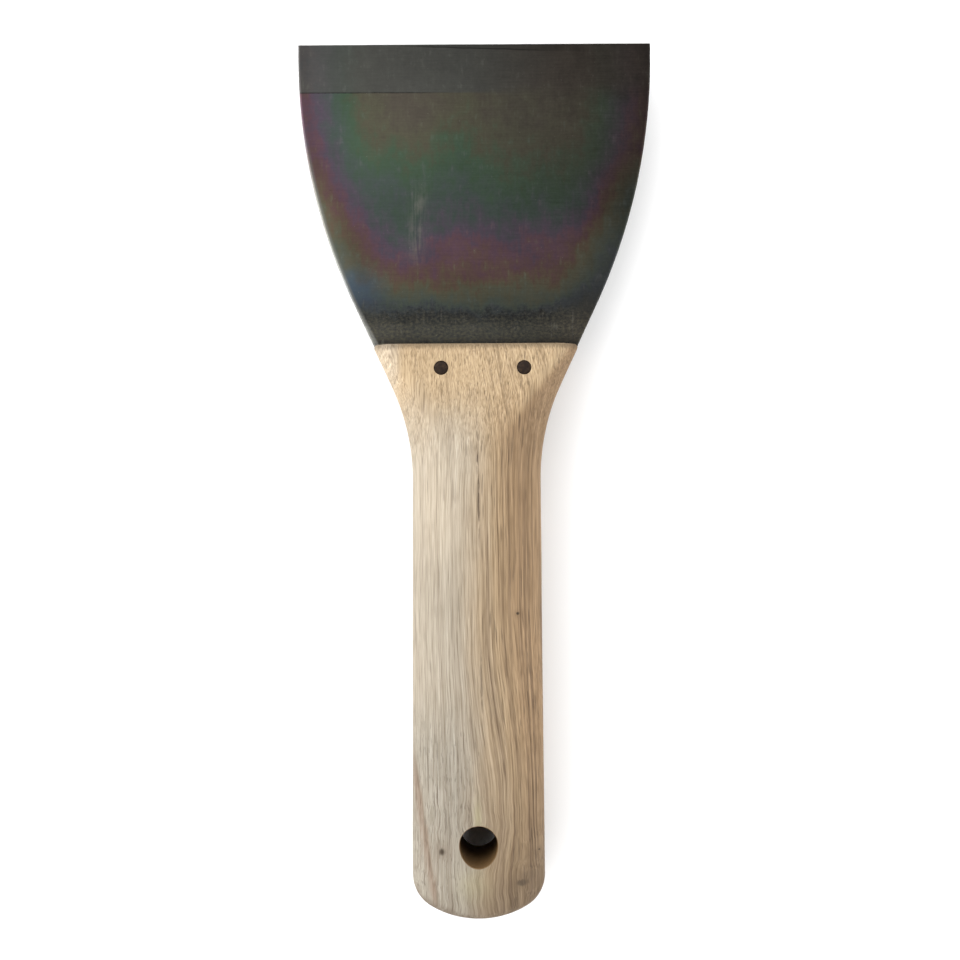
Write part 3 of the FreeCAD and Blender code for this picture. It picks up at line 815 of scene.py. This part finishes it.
def add_knots(graph, colour, wood):
    """On the front, small dark knots with a halo, and faint rings at the head's left corner."""
    x, s, front = wood.x, wood.s, wood.front
    for knot_x, knot_s, half_x, half_s, strength in KNOTS:
        reach = graph.length((x - knot_x) / half_x, (s - knot_s) / half_s)
        halo = graph.hump(reach, 2.6)
        spot = graph.rise(reach + wood.fine * 1.2 + wood.mottle * 0.8, 1.2, 0.35)
        colour = graph.mix(halo * strength * 0.35 * front, colour, LATE_WOOD)
        colour = graph.mix(spot * strength * front, colour, KNOT_AND_SHADOW_WOOD)
    eye = graph.length((x + 25.0) / 3.3, (s - 5.8) / 6.6) + wood.fine * 0.12 + wood.strand * 0.1
    rings = graph.hump(eye - 1.0, 0.09) + graph.hump(eye - 0.72, 0.08) * 0.8
    rings = rings + graph.hump(eye - 0.44, 0.09) * 0.6
    return graph.mix(rings * 0.32 * front, colour, LATE_WOOD)


def add_dirt_and_shade(graph, colour, wood):
    """Grime and painted shade round the butt, painted shade low on the right, and a painted shadow
    along the head's rim where the blade goes in.
    """
    x, s = wood.x, wood.s
    end_arc = graph.length(x, graph.high(s - HANDLE_LENGTH + BUTT_RADIUS, 0.0)) - BUTT_RADIUS
    # Grime and painted shade along the butt's rounded rim.
    grime_and_shade = graph.rise(end_arc + wood.mottle * 2.0, -3.0, -0.2) * 0.65
    # Painted shade low on the right, where the rounded edge turns away from the light.
    shaded_low_right = graph.rise(x * 0.6 + s - 140.0 + wood.cloud * 8.0, 4.0, 24.0)
    colour = graph.mix(graph.high(grime_and_shade, shaded_low_right * 0.5), colour, GRIME_AND_SHADE)
    # Painted shadow along the head's rim where the blade goes in.
    rim = graph.rise(s + wood.fine * 2.0 + wood.pores * 3.0, 1.9, 0.5)
    return graph.mix(rim * 0.55, colour, KNOT_AND_SHADOW_WOOD)


def add_fibres(graph, colour, wood):
    """Light and dark fibres; the darker they are, the redder."""
    at_head, right = wood.at_head, wood.right
    fibres = wood.strand * (0.42 - at_head * 0.2) + wood.fibre * (0.72 - at_head * 0.2)
    fibres = (fibres + wood.fine * (0.9 + at_head * 0.4)) * (0.85 + right * 0.15)
    fibres = fibres + wood.hair * (right * 0.45 + 0.35)
    tone = graph.high(1.0 - fibres, 0.35)
    tone = graph.vector(tone, tone**1.12, tone**1.3)
    return graph.mix(1.0, colour, tone, blend="MULTIPLY")


def add_hole_shade(graph, colour, wood):
    """Painted shade on the wood inside the hanging hole, which is a little longer towards the butt."""
    along = wood.s - HANG_S
    from_hole = graph.length(wood.x, graph.low(along, 0.0) + graph.high(along, 0.0) * 0.83)
    in_hole = graph.rise(from_hole, HANG_RADIUS + 0.22, HANG_RADIUS + 0.06)
    return graph.mix(in_hole * 0.95, colour, HOLE_SHADE_WOOD)


def wood_material():
    material, graph, shader = new_material("sanded_wood")
    wood = Wood(graph)
    pores = pore_share(graph, wood)
    crack = crack_share(graph, wood)
    colour = wood_tone(graph, wood)
    colour = add_late_wood(graph, colour, wood)
    colour = graph.mix(pores, colour, PORE_WOOD)
    colour = add_streaks(graph, colour, wood)
    colour = add_stains(graph, colour, wood)
    colour = graph.mix(crack * 0.9, colour, PORE_WOOD)
    colour = add_knots(graph, colour, wood)
    colour = add_dirt_and_shade(graph, colour, wood)
    colour = add_fibres(graph, colour, wood)
    colour = add_hole_shade(graph, colour, wood)
    graph.feed(shader["Base Color"], colour)
    graph.feed(shader["Roughness"], 0.72 + wood.fibre * 0.12)
    shader["Specular IOR Level"].default_value = 0.3
    height = wood.strand * 0.5 + wood.fibre * 0.8 + wood.fine * 0.5 - pores * 1.6 - crack * 2.0
    graph.feed(shader["Normal"], graph.bump(height, 0.08))
    return material


# ---- Blade steel --------------------------------------------------------
OXIDE = 0.84


def tint(red, green, blue):
    """Reflectance of an oxide film from how it looks in dim light."""
    return scaled(srgb(red, green, blue), OXIDE)


# Interference colours of the oxide, from the unheated middle of the blade to its dark root.
FILM_COLOURS = (
    (-2.0, tint(84, 78, 69)),
    (-1.0, tint(86, 84, 69)),
    (0.0, tint(69, 88, 70)),
    (1.0, tint(72, 82, 78)),
    (2.0, tint(83, 73, 85)),
    (2.5, tint(92, 69, 79)),
    (3.0, tint(90, 69, 67)),
    (3.5, tint(88, 75, 62)),
    (4.0, tint(82, 80, 65)),
    (5.0, tint(70, 77, 70)),
    (5.7, tint(61, 66, 69)),
    (6.4, tint(60, 62, 60)),
    (8.0, tint(58, 56, 52)),
)
# Film growth along the middle of the blade, from the working edge to the handle.
ROOT_FILM = (
    (0.0, 0.9), (20.0, 1.0), (30.0, 1.6), (42.0, 2.9), (50.0, 3.9), (56.0, 4.85), (62.0, 5.3),
    (66.5, 5.8), (70.0, 6.5), (73.0, 7.2), (76.0, 8.2), (79.0, 9.3), (90.0, 10.0),
)
# Plain steel, and steel where it is ground, on the left and on the warmer right.
PLAIN_LEFT, PLAIN_RIGHT = tint(75, 77, 73), tint(75, 68, 63)
GROUND_LEFT, GROUND_RIGHT = tint(76, 77, 74), tint(75, 68, 62)
BLUE_FILM = tint(60, 74, 96)
OLIVE_SPECKLE = tint(80, 76, 58)
# Soot near the handle, also used as painted shadow where the blade meets the handle.
SOOT_AND_SHADOW = tint(26, 24, 24)
GROUND_LINE = tint(24, 24, 22)
HONED_STEEL = tint(22, 22, 20)
SMEAR = tint(112, 114, 103)
PALE_PATCH = tint(110, 110, 104)
SPECK = tint(130, 128, 118)
PIT = tint(38, 36, 36)
# Painted highlight along the left side of the blade.
EDGE_HIGHLIGHT = tint(112, 112, 108)


class Steel:
    """Where a point of the blade is, and the noises of its surface there."""

    def __init__(self, graph):
        x, v, _ = piece_place(graph, EDGE_Y)
        drop = graph.high(v - BLADE_LAND, 0.0)
        half = graph.math("SQRT", BLADE_SIDE_RADIUS**2 - drop * drop)
        half = half + (BLADE_HALF_WIDTH - BLADE_SIDE_RADIUS)
        self.x, self.v = x, v
        self.inward = graph.high(half - graph.math("ABSOLUTE", x), 0.0)
        self.cloud = graph.noise((x / 16, v / 13, 3.0), detail=3.0, roughness=0.55)
        self.patch = graph.noise((x / 8 + 4.0, v / 9, 6.0), detail=3.0, roughness=0.6)
        self.blot = graph.noise((x / 2.6, v / 3.6, 8.0), detail=3.0, roughness=0.6)
        self.streaky = graph.noise((x / 0.8, v / 8, 9.0), detail=2.0, roughness=0.6)
        self.brushed = graph.noise((x / 16, v / 0.5, 1.0), detail=3.0, roughness=0.65)
        self.scratches = graph.noise((x / 7, v / 0.28, 5.0), detail=2.0, roughness=0.6)
        self.speckle = graph.noise((x / 0.9, v / 0.7, 2.0), detail=3.0, roughness=0.7)
        self.right = graph.rise(x + self.patch * 10.0, -6.0, 30.0)
        self.root = graph.rise(v + self.cloud * 5.0 + self.blot * 2.0, 73.0, 79.0)


def film_order(graph, steel):
    """How far through the heat colours the film is: furthest at the sides and the root."""
    x, v, patch = steel.x, steel.v, steel.patch
    blot = steel.blot + steel.streaky * 0.5
    right = graph.rise(x, 0.0, 30.0)
    lower = graph.rise(v, 24.0, 46.0)
    at_side = 5.0 + lower * 0.9 + right * (0.4 + lower * 0.8)
    side_film = at_side * graph.hump(steel.inward + patch * 3.0, 15.5)
    thickest = ROOT_FILM[-1][1]
    stops = [(place, scaled((1, 1, 1), film / thickest)) for place, film in ROOT_FILM]
    root_film = graph.parts(graph.ramp(v + steel.cloud * 6.0 + blot * 2.5, stops))[0] * thickest
    film = (side_film**3 + root_film**3) ** (1 / 3)
    green_patch = graph.hump(graph.length((x + 5.0) / 6.5, (v - 32.0) / 14.0), 1.0)
    green_patch = green_patch + graph.hump(graph.length((x + 24.0) / 8.0, (v - 36.0) / 13.0), 1.0) * 0.7
    dip = graph.hump(graph.length((x + 21.0) / 7.0, (v - 55.0) / 8.0), 1.0) * 0.9
    # A spot where the film is thinner.
    local_share = graph.rise(graph.length((x + 18.0) / 9.0, (v - 17.0) / 9.0), 1.2, 0.4) * 0.6
    spread = graph.noise((x / 4.2, v / 7.0, 12.0), detail=2.0)
    return film - 2.5 + green_patch * 0.9 - local_share - dip + patch * 1.4 + blot * 1.6 + spread * 1.3


def heat_colours(graph, steel):
    """The film's colours, fainter on the right and nearly gone where the edge is ground."""
    v, right = steel.v, steel.right
    colour = graph.ramp(film_order(graph, steel), FILM_COLOURS)
    plain = graph.mix(right, PLAIN_LEFT, PLAIN_RIGHT)
    colour = graph.mix(0.04 + right * (0.36 - graph.rise(v, 34.0, 46.0) * 0.24), colour, plain)
    above_step = v + steel.brushed * 0.6 + steel.patch * right * 5.0 - BLADE_GROUND
    softness = right * 4.0 + 0.2
    ground = graph.rise(above_step, softness, softness * -1.0)
    return graph.mix(ground * 0.85, colour, graph.mix(right, GROUND_LEFT, GROUND_RIGHT))


def add_root_stains(graph, colour, steel):
    """Near the handle: blue on the left, olive speckles, soot in bands, and a painted shadow where the
    blade meets the handle.
    """
    x, v, inward, blot, speckle = steel.x, steel.v, steel.inward, steel.blot, steel.speckle
    blue = graph.hump(v - 69.0 + blot * 4.0, 5.0) * graph.rise(x, -22.0, -33.0)
    colour = graph.mix(blue * 0.5, colour, BLUE_FILM)
    speckled = steel.root * graph.rise(speckle, -0.12, 0.16)
    colour = graph.mix(speckled * 0.5, colour, OLIVE_SPECKLE)
    soot = graph.hump(v - 77.2 + steel.cloud * 7.0 + blot * 6.0, 2.2) * (0.62 + blot * 1.2)
    soot = soot * (1.0 - graph.rise(inward, 12.0, 4.0) * 0.4 - graph.rise(x, 18.0, 24.0) * 0.4)
    corners = graph.length((inward - 6.0) / 5.0, (v - 72.0) / 8.0)
    corners = graph.hump(corners + blot, 1.0) * graph.rise(x, 0.0, 12.0)
    # Painted shadow where the blade goes into the handle.
    contact_shadow = graph.rise(v + speckle * 3.4 + blot * 2.4, 83.0, 85.2)
    # Soot, with the painted shadow at the handle.
    dark = graph.low(soot + corners * 0.15 + contact_shadow * 0.8, 0.9)
    return graph.mix(dark * (0.85 - speckle * 2.0), colour, SOOT_AND_SHADOW)


def add_edge_lines(graph, colour, steel):
    """A dark line where the grinding stops, and the honed strip along the working edge."""
    x, v = steel.x, steel.v
    wobble = graph.noise((x / 6, 2.0, 1.0)) * 0.5
    line = graph.hump(v - BLADE_GROUND + wobble * 0.6, 0.19) * graph.rise(x, -4.0, -20.0)
    colour = graph.mix(line * (0.6 + steel.streaky), colour, GROUND_LINE)
    from_honed = v - ((x + 27.0) * 0.036 + 0.2 + wobble)
    strip = graph.rise(from_honed, 0.12, -0.12) * graph.rise(x, -28.0, -10.0)
    strip = strip * graph.rise(x, 40.0, 24.0)
    border = graph.hump(from_honed, 0.16) * graph.rise(x, -24.0, -10.0) * graph.rise(x, 26.0, 12.0)
    return graph.mix(strip * 0.25 + border * 0.6, colour, HONED_STEEL)


def add_wear(graph, colour, steel):
    """A pale smear, pale patches and specks, dark pits, and a painted highlight along the left side."""
    x, v, blot, streaky = steel.x, steel.v, steel.blot, steel.streaky
    smear = graph.hump(x + 16.6 + (v - 52.0) * 0.07 + steel.patch * 3.0, 2.2)
    smear = smear * graph.rise(v, 36.0, 46.0) * graph.rise(v, 66.0, 54.0)
    smear = smear * graph.rise(streaky + blot * 0.5, -0.2, 0.22)
    colour = graph.mix(smear * 0.6, colour, SMEAR)
    patches = graph.rise(blot + streaky * 0.6, 0.10, 0.28)
    colour = graph.mix(patches * 0.17, colour, PALE_PATCH)
    specks = graph.rise(graph.noise((x / 0.5, v / 0.5, 11.0), detail=1.0), 0.24, 0.30)
    colour = graph.mix(specks * 0.4, colour, SPECK)
    pits = graph.rise(graph.noise((x / 0.9, v / 0.8, 15.0), detail=2.0), 0.24, 0.32)
    colour = graph.mix(pits * 0.4, colour, PIT)
    # Painted highlight along the left side.
    local_share = graph.rise(steel.inward, 1.5, 0.6) * graph.rise(v, 20.0, 40.0)
    local_share = local_share * graph.rise(x, 10.0, -20.0)
    return graph.mix(local_share * 0.7, colour, EDGE_HIGHLIGHT)


def steel_shade(graph, steel):
    """Lightness of the steel, mostly painted reflection: lighter towards the handle and on the left,
    darker to the right and near the working edge, with a painted highlight along the left side and a
    soft lighter patch; uneven where it is worn.
    """
    x, v, inward = steel.x, steel.v, steel.inward
    # Painted reflection: lighter towards the handle, darker near the working edge and its sides.
    lit = 0.84 + graph.rise(v, 0.0, 20.0) * 0.16 + graph.rise(v, 42.0, 66.0) * 0.26
    lit = lit + graph.rise(v, 78.5, 81.0) * 0.22
    lit = lit * (1.0 - graph.rise(inward, 5.0, 0.5) * graph.rise(v, 40.0, 20.0) * 0.2)
    # Painted highlight along the left side.
    left_edge_highlight = graph.rise(inward, 7.0, 0.5) * graph.rise(v, 34.0, 46.0)
    left_edge_highlight = left_edge_highlight * graph.rise(v, 76.0, 64.0) * graph.rise(x, 8.0, -20.0)
    # A soft lighter patch on the left.
    lighter_patch = graph.hump(graph.length((x + 20.0) / 18.0, (v - 28.0) / 16.0), 1.0)
    worn = steel.brushed * 0.22 + steel.scratches * 0.18 + steel.streaky * 0.12
    worn = worn + steel.patch * 0.3 + steel.blot * 0.28
    worn = worn + steel.speckle * (0.30 + steel.root * 0.8)
    worn = worn + steel.cloud * graph.rise(v, 30.0, 50.0) * 0.35
    # Darker to the right: partly painted reflection, partly oxide.
    fall = 0.0085 - graph.rise(v, 40.0, 60.0) * 0.003
    return (0.9 - x * fall + worn + left_edge_highlight * 0.5 + lighter_patch * 0.14) * lit


def blade_material():
    material, graph, shader = new_material("blued_steel")
    steel = Steel(graph)
    colour = heat_colours(graph, steel)
    colour = add_root_stains(graph, colour, steel)
    colour = add_edge_lines(graph, colour, steel)
    colour = add_wear(graph, colour, steel)
    # The painted reflection and the wear lighten or darken the colour.
    shade = steel_shade(graph, steel)
    colour = graph.mix(1.0, colour, graph.vector(shade, shade, shade), blend="MULTIPLY")
    graph.feed(shader["Base Color"], colour)
    shader["Metallic"].default_value = 0.6
    shader["Specular Tint"].default_value = (0.4, 0.4, 0.4, 1)
    graph.feed(shader["Roughness"], 0.30 + steel.brushed * 0.10 + steel.root * 0.14)
    height = steel.brushed + steel.scratches * 0.6 + steel.speckle * steel.root * 0.8
    graph.feed(shader["Normal"], graph.bump(height, 0.004))
    return material


# ---- Pin steel ----------------------------------------------------------
DARK_PIN = (0.012, 0.0050, 0.0022)
BROWN_PIN = (0.034, 0.018, 0.008)
BELT_MARK = (0.06, 0.043, 0.026)


def pin_material():
    """Dark brown steel with faint marks of the sanding belt."""
    material, graph, shader = new_material("pin_steel")
    x, s, z = piece_place(graph, HEAD_Y)
    belt = graph.noise((x / 0.12, s / 1.6, z), detail=2.0, roughness=0.6)
    stain = graph.noise((x / 0.9, s / 0.9, z / 0.9), detail=3.0, roughness=0.6)
    colour = graph.mix(graph.rise(stain, -0.1, 0.25), DARK_PIN, BROWN_PIN)
    colour = graph.mix(graph.rise(belt, 0.05, 0.3) * 0.3, colour, BELT_MARK)
    graph.feed(shader["Base Color"], colour)
    shader["Metallic"].default_value = 0.6
    graph.feed(shader["Roughness"], 0.5 + stain * 0.2)
    graph.feed(shader["Normal"], graph.bump(belt + stain, 0.01))
    return material


# ---- Floor, light and camera --------------------------------------------
FLOOR_HALF_SIZE = 4.0
FLOOR_GREY = (0.9, 0.9, 0.9, 1)

LENS_MM = 58.06
SENSOR_MM = 36
# The camera looks straight down on the knife, turned a little, as the photo does.
CAMERA_X = 0.95
CAMERA_FROM_EDGE = 123.8
CAMERA_HEIGHT = 440
CAMERA_TURN = math.radians(-0.33)


def build_floor():
    half = FLOOR_HALF_SIZE
    mesh = bpy.data.meshes.new("floor")
    corners = [(-half, -half, 0), (half, -half, 0), (half, half, 0), (-half, half, 0)]
    mesh.from_pydata(corners, [], [(0, 1, 2, 3)])
    floor = bpy.data.objects.new("floor", mesh)
    bpy.context.scene.collection.objects.link(floor)
    material, _, shader = new_material("floor_paper")
    shader["Base Color"].default_value = FLOOR_GREY
    shader["Roughness"].default_value = 0.9
    shader["Specular IOR Level"].default_value = 0.1
    mesh.materials.append(material)


def build_camera():
    data = bpy.data.cameras.new("camera")
    data.lens = LENS_MM
    data.sensor_width = SENSOR_MM
    camera = bpy.data.objects.new("camera", data)
    bpy.context.scene.collection.objects.link(camera)
    height = CENTRE_Z + CAMERA_HEIGHT
    camera.location = (CAMERA_X * MM, (EDGE_Y - CAMERA_FROM_EDGE) * MM, height * MM)
    camera.rotation_euler = (0, 0, CAMERA_TURN)
    bpy.context.scene.camera = camera


def build_world():
    """A studio of soft walls, darker on the right, with a wide light low on the left. The
    ceiling is dark but for a soft patch beyond the working edge, brightest on the left."""
    world = bpy.data.worlds.new("studio")
    bpy.context.scene.world = world
    world.use_nodes = True
    graph = Graph(world.node_tree)
    texture = graph.node("ShaderNodeTexCoord")
    x, y, z = graph.parts(Term(graph, texture.outputs["Generated"]))
    walls = 2.85 - 0.70 * graph.rise(x, -0.75, 0.75)
    key = graph.rise(x * -0.90 + y * 0.32 + z * 0.30, 0.70, 0.97) * 2.2
    ceiling = graph.rise(z, 0.72, 0.91)
    ceiling_light = (1.30 - 1.20 * graph.rise(x, -0.36, 0.24)) * graph.rise(y, 0.16, 0.34)
    light = (walls + key) * (1.0 - ceiling) + ceiling_light * ceiling
    background = world.node_tree.nodes["Background"].inputs
    graph.feed(background["Color"], graph.vector(light, light, light))
    background["Strength"].default_value = 1.0


HANDLE = build_handle()
BLADE = build_blade()
PIN_PIECES = [build_pin(node) for node in PINS]
HANDLE.data.materials.append(wood_material())
BLADE.data.materials.append(blade_material())
PIN_STEEL = pin_material()
for pin in PIN_PIECES:
    pin.data.materials.append(PIN_STEEL)
build_floor()
build_camera()
build_world()
bpy.context.scene.view_settings.view_transform = "Standard"
